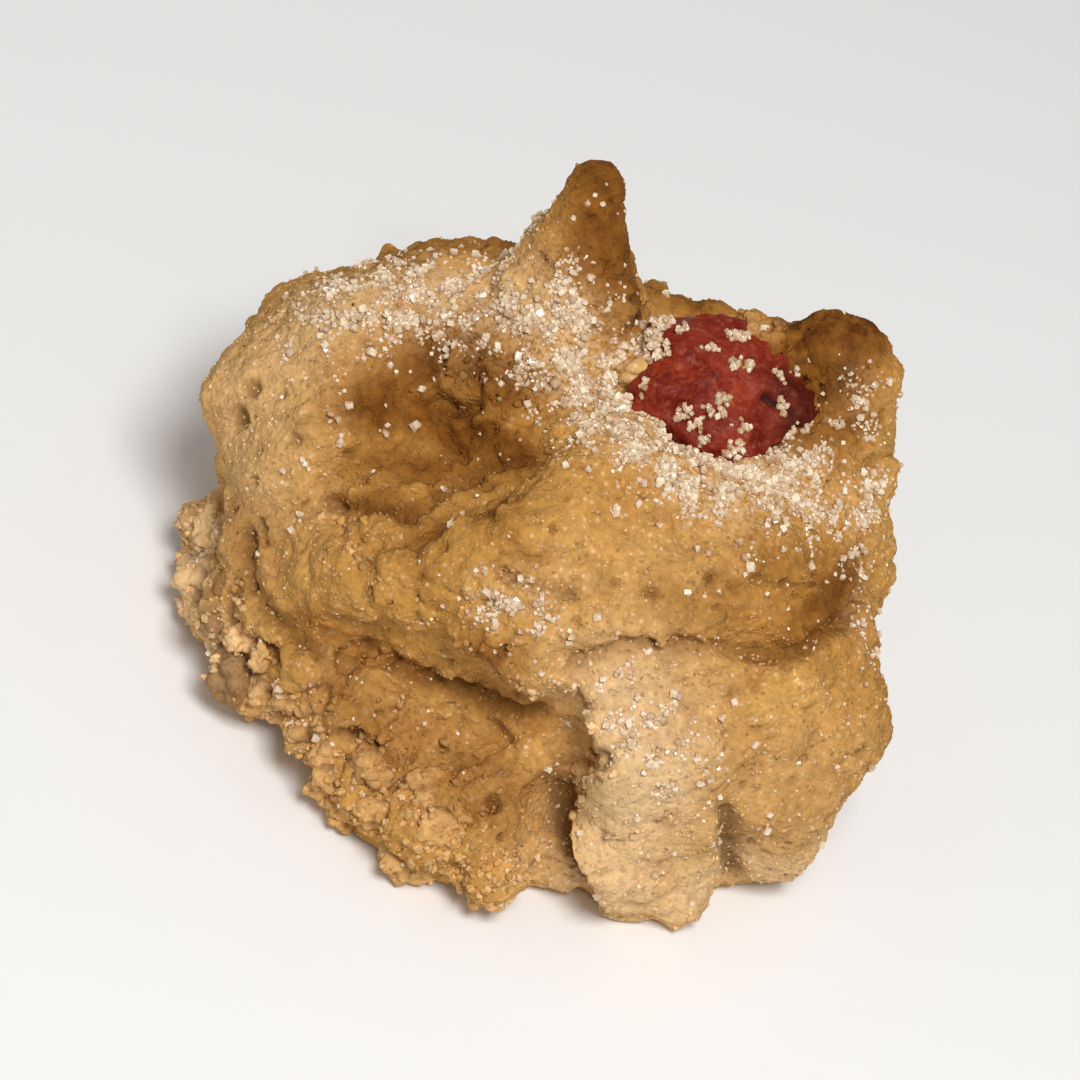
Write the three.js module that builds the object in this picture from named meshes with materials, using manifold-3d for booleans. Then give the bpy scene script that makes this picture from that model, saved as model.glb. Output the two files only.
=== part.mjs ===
// A rock cake: a craggy mound of baked dough with a flat underside. Two browned
// peaks stand either side of a hollow in its top, a torn half of a glace cherry
// lies in the hollow, and coarse sugar is baked on to the dough around it.
// Millimetres, +Z up. The cake stands on z = 0 with its origin under the middle
// of its box, and its front, with the deep fold, faces -Y.

import * as THREE from "three";
import { ImprovedNoise } from "three/addons/math/ImprovedNoise.js";
import { MeshSurfaceSampler } from "three/addons/math/MeshSurfaceSampler.js";
import { mergeVertices } from "three/addons/utils/BufferGeometryUtils.js";
import Module from "manifold-3d";

// Driving dimensions.
const REACH = 62; // from the heart of the dough to well clear of its surface
const HEART = new THREE.Vector3(1, 2, 20); // every part of the crust can be seen from here
const DOUGH_SPLITS = 20; // cuts along each edge of the icosahedron that the crust starts as
const CHERRY_SPLITS = 6;
const CHERRY_GAP = 0.3; // between the cherry and the pocket it has baked into
const LUMP_BLEND = 5; // how softly neighbouring lumps of dough run together
const PEAK_BLEND = 4;

// Lumps of dough, dropped together and run into each other in the oven.
const LUMPS = {
  core: { at: [2, 2, 13], size: [30, 29, 23] },
  leftShoulder: { at: [-17, 3.8, 22], size: [16.7, 16, 15.4] },
  rightShoulder: { at: [18.5, 4, 22], size: [15.4, 16, 18] },
  peakShoulder: { at: [-13, 9, 31], size: [9, 8, 7] },
  backMass: { at: [1, 13, 18], size: [25, 17, 20] },
  backRim: { at: [10, 15.5, 34.4], size: [12, 6, 5.5] },
  backKnob: { at: [-10, 23, 10], size: [12, 9, 10] },
  frontBulge: { at: [5.5, -7, 29], size: [21.5, 17, 10] },
  leftFoot: { at: [5, -18.5, 6], size: [16, 13, 8] },
  leftEdge: { at: [-17, -3, 5], size: [11.5, 12, 8] },
  rightFoot: { at: [25.7, -10.5, 14], size: [12, 12, 18] },
  rightFlank: { at: [28.3, -5.5, 25.8], size: [6, 7, 6], blend: 2 },
  footSlab: {
    at: [18.2, -15, 12.5],
    size: [8.5, 11.5, 16.5],
    square: 4,
    turn: new THREE.Euler(0, 0.38, -0.44),
    blend: 1.2,
  },
};

// Peaks of dough left standing where the mixture was pulled up with a fork.
const PEAKS = {
  tall: { foot: [-5, 10, 36], tip: [-6.4, 14.5, 49.4], footRadius: 8.5, tipRadius: 3.4 },
  stout: { foot: [19, 10, 35], tip: [21.5, 13.5, 42], footRadius: 8.5, tipRadius: 4.6 },
};

// Hollows pressed into the mound.
const HOLLOWS = {
  cherrySeat: { at: [12, 5, 46], size: [11, 9, 7.5], blend: 3 },
  saddle: { at: [6.5, 18, 42], size: [7, 10, 7], blend: 2.5 },
  dimple: { at: [-13, -9.5, 38.6], size: [11, 10, 8], blend: 6 },
  underBulge: { at: [-4, -28.5, 17], size: [18, 9, 6], blend: 4 },
};

// Grooves where one lump lies over the next, and ridges where the dough is drawn up or crumbled.
const FOLDS = {
  underBulge: {
    through: [[-16, -20, 15], [-9, -23, 19], [-2, -24, 21], [10, -22, 21], [12, -24, 12]],
    width: 2.6,
    rise: -2.5,
  },
  overFoot: {
    through: [[9, -22, 30], [15, -20, 31], [20, -18, 31], [24, -15, 31]],
    width: 2.6,
    rise: -3,
  },
  underDimple: {
    through: [[-18, -15, 27], [-13, -18, 28], [-9, -16, 31], [-5, -11, 34], [-3, -8, 37]],
    width: 2.2,
    rise: -2,
  },
  bulgeBrow: { through: [[-10, -20, 26], [-3, -18, 32], [2, -12, 36]], width: 3.5, rise: 1.5 },
  besideFoot: {
    through: [[13, -28, 3], [12, -26, 9], [11, -24, 16], [9, -22, 21]],
    width: 2.2,
    rise: -4.5,
  },
  footNotch: { through: [[30.5, -23.5, 13], [31.5, -22, 8], [32.5, -21, 0]], width: 2.6, rise: -5 },
  nearLip: { through: [[3, -5, 39], [11, -7, 39], [19, -4, 39]], width: 3.5, rise: 1.2 },
  crumbledEdge: {
    through: [[-29, -6, 5], [-22, -17, 4], [-12, -25, 4], [3, -30, 3]],
    width: 4,
    rise: 1,
  },
  backCrease: {
    through: [[-27, 12, 24], [-10, 25, 26], [6, 27, 21], [22, 20, 24]],
    width: 2.8,
    rise: -2.5,
  },
  backSlump: { through: [[-20, 22, 6], [-2, 30, 8], [16, 25, 5]], width: 4, rise: 1.5 },
  sideCrease: { through: [[35, 3, 21], [34, 9, 15], [28, 18, 17]], width: 2.6, rise: -2 },
};
const FOLD_STEPS = 20;

// Clods of crumbled dough, in rows along the lower front edge.
const CLOD_ROWS = [
  { through: [[-31, -3, 7], [-26, -13, 7], [-16, -23, 6], [-2, -30, 6], [8, -31, 5]], clods: 8 },
  { through: [[-24, -12, 14], [-18, -19, 13], [-9, -24, 12]], clods: 4 },
];
const CLOD = { seed: 4, radius: 3.8, uneven: 0.25, sunk: 0.35, blend: 0.5 };

// Crags of the crust: rounded knobs with sharp creases between them.
const CRAGS = [
  { across: 15, rise: 1.6 },
  { across: 7, rise: 0.7 },
];
const CREASE_SOFTNESS = 0.06;
const CRAG_MEAN = 0.23; // the mean of the noise's size, which leaves the bulk of the cake unchanged

// A torn half of a glace cherry.
const CHERRY = { at: [11.5, 6.3, 40.4], size: [8.3, 7.7, 3.3], tilt: [0.36, 0.05, 0.44] };

// Coarse sugar, thickest where it was spooned over the rim, the shoulder and the front.
const SUGAR = {
  seed: 5,
  grains: 90,
  size: 1.5,
  sunk: 0.3,
  apart: 2.3,
  cherryGap: 1.5,
  scattered: 0.03,
  lowest: 3,
  highest: 43, // the peaks are bare
};
const SUGAR_DRIFTS = [
  { through: [[-6, 2, 39], [3, -5, 40], [11, -9, 40], [20, -4, 39], [27, 2, 37]], width: 4.5 },
  { through: [[-23, 3, 38], [-16, 6, 39], [-9, 6, 41]], width: 4 },
  { through: [[0, -23, 32], [4, -22, 34]], width: 3 },
  { through: [[19, -21, 18], [23, -19, 22]], width: 4 },
];

const RELAX_ROUNDS = 6;
const SETTLE_ROUNDS = 4;
const CLOSE = 0.002; // how near a point must come to the surface

const NO_TURN = new THREE.Euler();
const noise = new ImprovedNoise();

// Roughly how far p is outside a lump; negative inside. A lump is an egg, or squarer with a
// higher power, and its turn takes the cake's directions to its own.
function lumpDistance(p, { at, size, square = 2, turn = NO_TURN }) {
  const way = new THREE.Vector3(...at).sub(p).negate().applyEuler(turn);
  const shares = way.toArray().map((step, i) => Math.abs(step) / size[i]);
  const share = shares.reduce((sum, each) => sum + each ** square, 0) ** (1 / square);
  if (share === 0) return -Math.min(...size);
  const slope = Math.hypot(...shares.map((each, i) => (each / share) ** (square - 1) / size[i]));
  return (share - 1) / slope;
}

function peakDistance(p, { foot, tip, footRadius, tipRadius }) {
  const along = new THREE.Line3(new THREE.Vector3(...foot), new THREE.Vector3(...tip));
  const share = along.closestPointToPointParameter(p, true);
  const axisPoint = along.at(share, new THREE.Vector3());
  return p.distanceTo(axisPoint) - THREE.MathUtils.lerp(footRadius, tipRadius, share);
}

function softMin(a, b, blend) {
  const overlap = Math.max(blend - Math.abs(a - b), 0) / blend;
  return Math.min(a, b) - (overlap * overlap * blend) / 4;
}

// Roughly how far p is outside the plain mound; negative inside.
function moundDistance(p) {
  let distance = Infinity;
  for (const lump of Object.values(LUMPS)) {
    distance = softMin(distance, lumpDistance(p, lump), lump.blend ?? LUMP_BLEND);
  }
  for (const peak of Object.values(PEAKS)) {
    distance = softMin(distance, peakDistance(p, peak), PEAK_BLEND);
  }
  for (const hollow of Object.values(HOLLOWS)) {
    distance = -softMin(-distance, lumpDistance(p, hollow), hollow.blend);
  }
  return distance;
}

// Moves p on to the surface where a distance is nought, by the steepest way.
function settle(p, distanceAt, rounds = SETTLE_ROUNDS) {
  const step = 0.05;
  const probe = new THREE.Vector3();
  for (let i = 0; i < rounds; i++) {
    const here = distanceAt(p);
    if (Math.abs(here) < CLOSE) break;
    const ahead = (x, y, z) => (distanceAt(probe.set(p.x + x, p.y + y, p.z + z)) - here) / step;
    const slope = new THREE.Vector3(ahead(step, 0, 0), ahead(0, step, 0), ahead(0, 0, step));
    p.addScaledVector(slope, -here / Math.max(slope.lengthSq(), 0.25));
  }
  return p;
}

// Points along a smooth curve, settled on the mound.
function pointsOnMound(through, steps = FOLD_STEPS) {
  const curve = new THREE.CatmullRomCurve3(through.map((at) => new THREE.Vector3(...at)));
  return curve.getSpacedPoints(steps).map((p) => settle(p, moundDistance, 3 * SETTLE_ROUNDS));
}

// How near p is to a row of points: 1 on it, fading to nought beyond its width.
function nearness(p, points, width) {
  let near = Infinity;
  for (const point of points) near = Math.min(near, point.distanceToSquared(p));
  return Math.exp(-near / (width * width));
}

for (const fold of Object.values(FOLDS)) fold.points = pointsOnMound(fold.through);

// Balls of uneven size along the rows, each sunk some way towards the heart.
function clodBalls() {
  THREE.MathUtils.seededRandom(CLOD.seed);
  const unevenness = () => 1 + CLOD.uneven * (2 * THREE.MathUtils.seededRandom() - 1);
  return CLOD_ROWS.flatMap(({ through, clods }) =>
    pointsOnMound(through, clods - 1).map((place) => {
      const radius = CLOD.radius * unevenness();
      const inward = HEART.clone().sub(place).normalize();
      return { middle: place.addScaledVector(inward, CLOD.sunk * radius * unevenness()), radius };
    }),
  );
}

const clods = clodBalls();

function cragRise(p) {
  let sum = 0;
  for (const { across, rise } of CRAGS) {
    const swell = noise.noise(p.x / across + 3.1, p.y / across + 7.7, p.z / across + 1.3);
    sum += 2 * rise * (Math.hypot(swell, CREASE_SOFTNESS) - CRAG_MEAN);
  }
  return sum;
}

// Roughly how far p is outside the folded, craggy dough; negative inside.
function doughDistance(p) {
  let distance = moundDistance(p);
  for (const { points, width, rise } of Object.values(FOLDS)) {
    distance -= rise * nearness(p, points, width);
  }
  for (const { middle, radius } of clods) {
    distance = softMin(distance, middle.distanceTo(p) - radius, CLOD.blend);
  }
  return distance - cragRise(p);
}

// Where a line from the heart in a direction leaves the dough.
function crustAlong(direction) {
  const p = new THREE.Vector3();
  let from = REACH;
  while (from > 1) {
    const distance = doughDistance(p.copy(HEART).addScaledVector(direction, from));
    if (distance < CLOSE) break;
    from -= Math.max(0.5 * distance, CLOSE);
  }
  return p;
}

// Draws a direction in towards the peaks, so that their tips get enough facets.
function towardPeaks(direction) {
  const reach = 0.6; // radians
  const pull = 1.4;
  for (const { tip } of Object.values(PEAKS)) {
    const axis = new THREE.Vector3(...tip).sub(HEART).normalize();
    const angle = direction.angleTo(axis);
    if (angle === 0 || angle > reach) continue;
    const turn = reach * (angle / reach) ** pull - angle;
    direction.applyAxisAngle(axis.cross(direction).normalize(), turn);
  }
  return direction;
}

function withBarePositions(geometry) {
  const bare = geometry.clone();
  bare.deleteAttribute("normal");
  bare.deleteAttribute("uv");
  return mergeVertices(bare);
}

function neighbourLists(geometry) {
  const lists = Array.from({ length: geometry.attributes.position.count }, () => new Set());
  const corners = geometry.index.array;
  for (let i = 0; i < corners.length; i += 3) {
    const face = corners.subarray(i, i + 3);
    for (const a of face) for (const b of face) if (a !== b) lists[a].add(b);
  }
  return lists;
}

// The crust: a ball wrapped on to the dough, its points then evened out along the surface.
function crustGeometry() {
  const crust = withBarePositions(new THREE.IcosahedronGeometry(1, DOUGH_SPLITS));
  const position = crust.attributes.position;
  let points = Array.from({ length: position.count }, (_, i) =>
    crustAlong(towardPeaks(new THREE.Vector3().fromBufferAttribute(position, i).normalize())),
  );
  const neighbours = neighbourLists(crust);
  for (let round = 0; round < RELAX_ROUNDS; round++) {
    points = points.map((p, i) => {
      const middle = new THREE.Vector3();
      for (const n of neighbours[i]) middle.addScaledVector(points[n], 1 / neighbours[i].size);
      return settle(middle.lerp(p, 0.5), doughDistance);
    });
  }
  points.forEach((p, i) => position.setXYZ(i, p.x, p.y, p.z));
  return crust;
}

const cherryPlace = new THREE.Matrix4()
  .makeRotationFromEuler(new THREE.Euler(...CHERRY.tilt))
  .setPosition(...CHERRY.at);

// The cherry, grown by a gap: a flattened ball with a torn outline and a shrivelled skin.
function cherryGeometry(gap) {
  const skin = withBarePositions(new THREE.IcosahedronGeometry(1, CHERRY_SPLITS));
  const position = skin.attributes.position;
  const p = new THREE.Vector3();
  for (let i = 0; i < position.count; i++) {
    p.fromBufferAttribute(position, i).normalize();
    const turn = Math.atan2(p.y, p.x);
    const torn = 1 + 0.1 * Math.cos(5 * turn + 1.83) + 0.04 * Math.cos(7 * turn + 2);
    const wrinkle = 0.12 * noise.noise(2.2 * p.x + 5, 2.2 * p.y, 2.2 * p.z);
    const size = CHERRY.size.map((radius) => radius * (torn + wrinkle) + gap);
    position.setXYZ(i, p.x * size[0], p.y * size[1], p.z * size[2]);
  }
  return skin.applyMatrix4(cherryPlace);
}

const wasm = await Module();
wasm.setup();

function solidFrom(geometry) {
  const merged = withBarePositions(geometry);
  return new wasm.Manifold(
    new wasm.Mesh({
      numProp: 3,
      vertProperties: new Float32Array(merged.attributes.position.array),
      triVerts: new Uint32Array(merged.index.array),
    }),
  );
}

function geometryFrom(solid) {
  const { vertProperties, triVerts } = solid.getMesh();
  const geometry = new THREE.BufferGeometry();
  geometry.setAttribute("position", new THREE.BufferAttribute(vertProperties, 3));
  geometry.setIndex(new THREE.BufferAttribute(triVerts, 1));
  geometry.computeVertexNormals();
  return geometry;
}

// Marks each point of the dough with how thickly the sugar lies there.
function markSugar(geometry) {
  const position = geometry.attributes.position;
  const drifts = SUGAR_DRIFTS.map(({ through, width }) => ({ points: pointsOnMound(through), width }));
  const weights = new Float32Array(position.count);
  const p = new THREE.Vector3();
  for (let i = 0; i < position.count; i++) {
    p.fromBufferAttribute(position, i);
    const thickest = Math.max(...drifts.map(({ points, width }) => nearness(p, points, width)));
    weights[i] = Math.max(thickest, SUGAR.scattered);
  }
  geometry.setAttribute("sugar", new THREE.BufferAttribute(weights, 1));
  return geometry;
}

// The coarse grains: small turned blocks sunk a little into the dough, clear of each other.
function sugarGrains(doughGeometry) {
  THREE.MathUtils.seededRandom(SUGAR.seed);
  const random = () => THREE.MathUtils.seededRandom();
  const sampler = new MeshSurfaceSampler(new THREE.Mesh(markSugar(doughGeometry)));
  sampler.setWeightAttribute("sugar").setRandomGenerator(random).build();
  const clearSize = CHERRY.size.map((radius) => 1.15 * radius + SUGAR.cherryGap);
  const places = [];
  const grains = [];
  while (grains.length < SUGAR.grains) {
    const place = new THREE.Vector3();
    const normal = new THREE.Vector3();
    sampler.sample(place, normal);
    const turn = new THREE.Euler(...[0, 0, 0].map(() => Math.PI * random()));
    const size = SUGAR.size * (0.8 + 0.4 * random());
    const tooNear = places.some((other) => other.distanceTo(place) < SUGAR.apart);
    const onCherry = lumpDistance(place, { at: CHERRY.at, size: clearSize }) < 0;
    if (tooNear || onCherry || place.z < SUGAR.lowest || place.z > SUGAR.highest) continue;
    places.push(place);
    const middle = place.clone().addScaledVector(normal, size * (0.5 - SUGAR.sunk));
    const block = new THREE.BoxGeometry(size, size, 0.8 * size);
    block.applyMatrix4(new THREE.Matrix4().makeRotationFromEuler(turn).setPosition(middle));
    grains.push(solidFrom(block));
  }
  return grains;
}

const pocket = solidFrom(cherryGeometry(CHERRY_GAP));
const tray = solidFrom(new THREE.BoxGeometry(4 * REACH, 4 * REACH, REACH).translate(0, 0, -REACH / 2));
const plainDough = solidFrom(crustGeometry()).subtract(tray).subtract(pocket);
const dough = wasm.Manifold.union([plainDough, ...sugarGrains(geometryFrom(plainDough))]);

function finish(color, roughness) {
  return new THREE.MeshStandardMaterial({ color, roughness, metalness: 0 });
}

function piece(name, geometry, material) {
  const mesh = new THREE.Mesh(geometry, material);
  mesh.name = name;
  return mesh;
}

const cake = new THREE.Group();
cake.add(piece("dough", geometryFrom(dough), finish(0xb98a4e, 0.9)));
cake.add(piece("cherry", cherryGeometry(0), finish(0x8f1a17, 0.3)));
const middle = new THREE.Box3().setFromObject(cake).getCenter(new THREE.Vector3());
cake.position.set(-middle.x, -middle.y, 0);

export default cake;
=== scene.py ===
"""The looks of a rock cake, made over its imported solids.

The crust is the dough's solid with crags, crumb, cracks and pores worked into
it. Clods, crumbs, granules, coarse sugar and fine sugar lie on it. The cherry
is its solid with a shrivelled, sticky skin. Blender works in metres. Places on
the cake are named in millimetres, with +Z up and its front towards -Y.
"""

import math

import bmesh
import bpy
import numpy as np
from mathutils import Matrix, Vector, noise
from mathutils.bvhtree import BVHTree
from mathutils.kdtree import KDTree


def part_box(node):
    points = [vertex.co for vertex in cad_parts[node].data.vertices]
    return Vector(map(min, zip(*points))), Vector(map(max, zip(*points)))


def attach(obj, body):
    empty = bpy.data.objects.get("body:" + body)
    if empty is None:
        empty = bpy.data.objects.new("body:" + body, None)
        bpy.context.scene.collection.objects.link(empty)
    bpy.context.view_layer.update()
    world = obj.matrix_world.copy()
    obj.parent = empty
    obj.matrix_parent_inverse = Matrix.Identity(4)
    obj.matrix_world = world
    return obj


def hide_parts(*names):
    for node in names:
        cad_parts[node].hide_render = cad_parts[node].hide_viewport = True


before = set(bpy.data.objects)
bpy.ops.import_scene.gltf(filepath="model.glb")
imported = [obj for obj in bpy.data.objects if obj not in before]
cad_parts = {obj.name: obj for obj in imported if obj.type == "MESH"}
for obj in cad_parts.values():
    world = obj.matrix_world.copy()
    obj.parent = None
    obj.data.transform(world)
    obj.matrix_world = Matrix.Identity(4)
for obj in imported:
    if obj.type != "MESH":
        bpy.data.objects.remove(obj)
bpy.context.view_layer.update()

MM = 0.001
BODY = "root"

# The crust's mesh.
CRUST_PITCH = 0.41 * MM  # side of its even quads
MERGE_DISTANCE = 0.002 * MM  # within which the loose corners of a solid are joined
FACET_ROUNDS = 11  # smoothing that takes out the solid's facets
BASE_HEIGHT = 0.2 * MM  # what is lower is set flat

# Sugar grains that are fused to the dough's solid, and are taken off it for crystals to lie there.
GRAIN_ROUNDS = 9  # smoothing that shows which points stand proud
GRAIN_PROUD = 0.2 * MM
GRAIN_ACROSS = 3.2 * MM  # a proud patch that is wider isn't a grain
GRAIN_POINTS = 4  # nor is one of fewer points
GRAIN_LOWEST = 2 * MM  # nor is one that lies lower
GRAIN_RINGS = 3  # rings of points round a grain that are smoothed with it
GRAIN_FILL_ROUNDS = 48  # smoothing that takes a grain off

# Seeds of the random draws.
CRUST_SEED = 9
COARSE_SEED = 12
FINE_SEED = 34
CRUMB_SEED = 56
GRANULE_SEED = 78
CLOD_SEED = 90

# The cherry's middle in the measure that the places below are given in, in millimetres.
CHERRY_MIDDLE = Vector((10.4, 5.62, 40.4))
cherry_low, cherry_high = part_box("cherry")
PLACES_FROM = (Vector(cherry_low) + Vector(cherry_high)) / 2 / MM - CHERRY_MIDDLE

# Points that long strokes pass, or more than one.
LEFT_FLANK = [(-29, -2, 34), (-31, -6, 28), (-28, -11, 22)]
LOBE_BELOW_FOLD = [(-12, -24, 13), (-3, -25, 12), (5, -27, 11)]
CRUMBLED_EDGE = [(-32, 0, 7), (-31, -9, 7), (-25, -17, 6), (-16, -23, 6), (-6, -30, 6), (7, -31, 6)]
ABOVE_EDGE = [(-26, -14.7, 18.4), (-24.7, -17, 16), (-22.3, -20, 15.8), (-18, -22, 16), (-15.4, -23, 16.4)]
BELOW_CHERRY = [(-7, 4, 40.5), (-4, 2, 39), (0, 1, 38), (4, -5, 40), (12, -6, 40), (19, -3, 40)]
BELOW_DIMPLE = [(-20, -13, 25), (-17, -14, 27), (-13, -16, 30), (-11, -12, 30), (-8, -8, 32), (-4, -7, 34)]
BELOW_BULGE = [(6.5, -24, 29), (8.5, -23, 31), (11, -22, 32), (16, -19, 32), (20, -17, 31), (23, -16, 31)]
BULGE_END = [(23, -16, 31), (26, -14, 32), (28, -10, 32), (29, -6, 31), (29.4, -2, 31), (28, -1, 33)]
TOE_EDGE = [(10.5, -24.2, 12.3), (11.3, -26, 10.3), (12.5, -27.3, 8.8), (14.6, -28, 7), (16.4, -27, 3)]
FOOT_EDGE = [
    (8.5, -24.5, 25.7), (10.2, -25.4, 24.5), (11.1, -26.8, 23.6), (12.3, -28.6, 23.3), (12.2, -27, 19),
    (12, -24.5, 14), (11.7, -24.4, 12.3), (12.6, -26, 10.5), (13.8, -27.5, 9.2), (16, -28.3, 7.7),
    (17.6, -25.5, 2.4),
]

# Strokes over the crust: the points that each passes, its reach in millimetres and its strength.
STROKE_STEP = 0.8  # millimetres between the points that a stroke is laid in
STROKE_SPAN = 3  # times its reach, by where a stroke has faded out
STRAY_ROOM = 1  # millimetres that a stroke's reach may stray
# Browning, and painted shade under the bulge, in the crease under the dimple and low on the left flank.
BROWNED_AND_PAINTED_SHADE = [
    ([(-8, 14, 52), (-6, 10, 49), (-3, 10, 45), (1, 11, 42)], 5.5, 0.85),  # tall peak
    ([(1, 20, 35), (5, 20, 36)], 4, 0.7),  # rim behind the cherry
    ([(11, 13, 42), (14, 12, 43), (18, 9, 43)], 6, 1.0),  # ridge right of the cherry
    ([(20, 14, 46), (19, 11, 45), (17, 10, 42)], 5, 0.95),  # stout peak
    ([(19, 3, 39), (21, 5, 40), (23, 7, 41)], 4, 0.75),  # right of the cherry
    ([(-20, -6, 32), (-17, -1, 35), (-12, 0, 36), (-8, -2, 36)], 5, 0.8),  # dimple
    ([(-15, -4, 32), (-10, -5, 32), (-6, -6, 34)], 4, 0.85),  # middle of the dimple
    ([(-18, -10, 29), (-12, -9, 30), (-8, -7, 32)], 4, 0.7),  # foot of the dimple
    ([(-18, -13, 27), (-13, -15, 30), (-9, -11, 30), (-4, -7, 34)], 1.6, 0.6),  # crease under the dimple, painted shade along it
    ([(23.5, -12.5, 33), (25.5, -9, 33), (27, -4.5, 33)], 3.2, 0.85),  # right end of the bulge
    ([(14, -18, 34), (20, -15, 35), (24, -9, 34)], 5, 0.45),  # round that end
    ([(20, -10, 37), (24, -6, 36)], 4, 0.6),  # above that end
    ([(-4, -24, 26), (1, -25, 28)], 2.6, 0.75),  # lump under the bulge
    ([(8, -24, 25), (10, -26, 22), (11, -25, 15)], 2, 0.6),  # left edge of the foot
    ([(10.5, -24.2, 12.3), (12.5, -27.3, 8.8), (14.6, -28, 6)], 1.6, 0.8),  # left edge of the toe
    ([(-25, 9, 36), (-14, 19, 34), (4, 24, 34), (20, 20, 34)], 7, 0.55),  # back crest
    ([(-18, -20, 17), (-12, -21, 17), (-4, -21, 17), (5, -22, 18)], 3, 0.5),  # hollow under the bulge, browned and painted shade
    # lobe below the fold, browned and painted shade under the bulge
    (LOBE_BELOW_FOLD, 5, 0.5),
    ([(30, -8, 30), (34, -6, 24), (34, 2, 18)], 7, 0.35),  # right side
    ([(-8, -18, 31), (-4, -17, 34)], 5.5, 0.66),  # left end of the bulge
    ([(11, -25, 27), (18, -25, 26)], 4, 0.15),  # top of the foot
    ([(-27, -13, 18), (-23, -15, 20)], 5, 0.38),  # foot of the left flank, painted shade, darker towards the bottom
    ([(-17, -17, 24), (-10, -20, 27)], 5, 0.18),  # under the dimple
    ([(25, -21, 22), (30, -18, 20)], 6, 0.22),  # right of the foot
]
PALE = [
    (LEFT_FLANK, 9, 0.52),
    ([(-27, 2, 36), (-18, 5, 39), (-12, 5, 41)], 5, 0.5),  # above the dimple
    ([(12, -25, 27), (16, -27, 22), (17, -28, 14), (18, -28, 6)], 8, 1.0),  # foot
    ([(24, -22, 22), (30, -18, 20), (31, -18, 12)], 8, 0.3),  # right of the foot
    ([(24, -24, 6), (33, -15, 8)], 6, 1.0),  # bottom right of the foot
    ([(-32, -4, 7), (-30, -9, 7), (-24, -17, 7)], 5, 0.9),  # left end of the crumbled edge
    ([(4, -20, 36), (14, -17, 37)], 5, 0.2),  # face of the bulge
    # lobe below the fold, paler and greyer as painted sky-lit shade
    (LOBE_BELOW_FOLD, 5, 0.2),
    ([(30, 14, 10), (10, 30, 10), (-18, 26, 9), (-33, 8, 8)], 10, 0.7),  # round the back
]
CRUMBLED = [
    (CRUMBLED_EDGE, 4.5, 1.0),
    ([(-24, -13, 12), (-17, -19, 11), (-8, -25, 11), (4, -29, 10)], 3.5, 0.6),  # above that edge
    ([(14, -29, 5), (22, -26, 4), (33, -17, 5)], 3, 0.35),  # bottom of the foot
    ([(9, -25, 25), (11, -27, 22), (12, -26, 14)], 2, 0.8),  # left edge of the foot
    ([(-5, -24, 25), (2, -25, 27)], 3, 0.7),  # lump under the bulge
    ([(-19, -15, 23), (-13, -19, 26)], 3.5, 0.5),  # under the dimple
    ([(-13, -1, 35), (-8, -1, 36.5), (-5, -3, 37)], 2.5, 0.5),  # top of the dimple
    ([(34, -4, 5), (28, 18, 5), (4, 31, 5), (-20, 24, 5), (-33, 6, 6)], 4.5, 0.6),  # round the back
]
CRAGGY = [
    ([(-20, -6, 32), (-14, -3, 34), (-8, -4, 34)], 5, 0.9),  # dimple
    ([(-18, -10, 29), (-12, -9, 30), (-7, -7, 33)], 3.5, 0.7),  # foot of the dimple
    ([(-3, -24, 26), (1, -25, 28)], 3, 0.5),  # lump under the bulge
    ([(-13, -23, 14), (-4, -24, 12), (4, -27, 11)], 4, 0.6),  # lobe under the bulge
    ([(20, 3, 40), (22, 6, 41)], 4, 0.5),  # right of the cherry
    ([(-1, 8, 43), (3, 9, 41)], 4, 0.5),  # left of the cherry
    ([(-20, 18, 28), (2, 26, 28), (24, 16, 28)], 9, 0.5),  # back
]
CALM = [
    ([(-8, 14, 52), (-6, 11, 48)], 6, 0.7),  # tall peak
    ([(17, 14, 45), (20, 14, 46), (21, 10, 44), (24, 9, 41)], 6, 0.65),  # stout peak
    ([(1, 20, 35), (7, 20, 36), (13, 17, 39)], 5, 0.8),  # rim behind the cherry
    (LEFT_FLANK, 8, 0.75),
    ([(14, -27, 24), (18, -28, 16), (26, -23, 20), (30, -18, 14)], 9, 0.75),  # foot
]
LAYERED = [
    ([(0, -21, 34), (8, -19, 36), (16, -15, 36), (23, -11, 34)], 5.5, 0.9),  # face of the bulge
    ([(-15, -21, 13), (-8, -24, 12), (3, -27, 11)], 5, 0.6),  # under the bulge
    ([(-28, 8, 26), (-10, 25, 28), (8, 28, 24), (24, 19, 26)], 8, 0.7),  # back
]
SUGARED = [
    (BELOW_CHERRY, 4.2, 0.9),
    ([(19, -3, 40), (26, -1, 37), (27, 3, 37)], 3.5, 0.35),  # right of the cherry
    ([(22, 9, 43), (24, 8, 41), (25, 6, 39)], 2.5, 0.2),  # stout peak
    ([(28, 2, 35), (30, -3, 31), (31, -8, 29)], 1.8, 0.25),  # right side
    ([(-27, 2, 36), (-18, 5, 39), (-10, 5, 41)], 5, 0.5),  # above the dimple
    ([(-3, -22.5, 32), (2, -23.5, 33)], 2.3, 0.5),  # left end of the bulge
    ([(11, -24, 27), (16, -26, 26), (19, -27, 23)], 3.5, 0.3),  # top of the foot
    ([(17, -28, 18), (17, -28, 12), (24, -25, 14)], 6, 0.08),  # foot
    ([(-31, -10, 8), (-23, -18, 7), (-12, -27, 7)], 3.5, 0.15),  # crumbled edge
    ([(-14, 11, 41), (-11, 12, 43)], 3.5, 0.3),  # left of the tall peak
]
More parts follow.
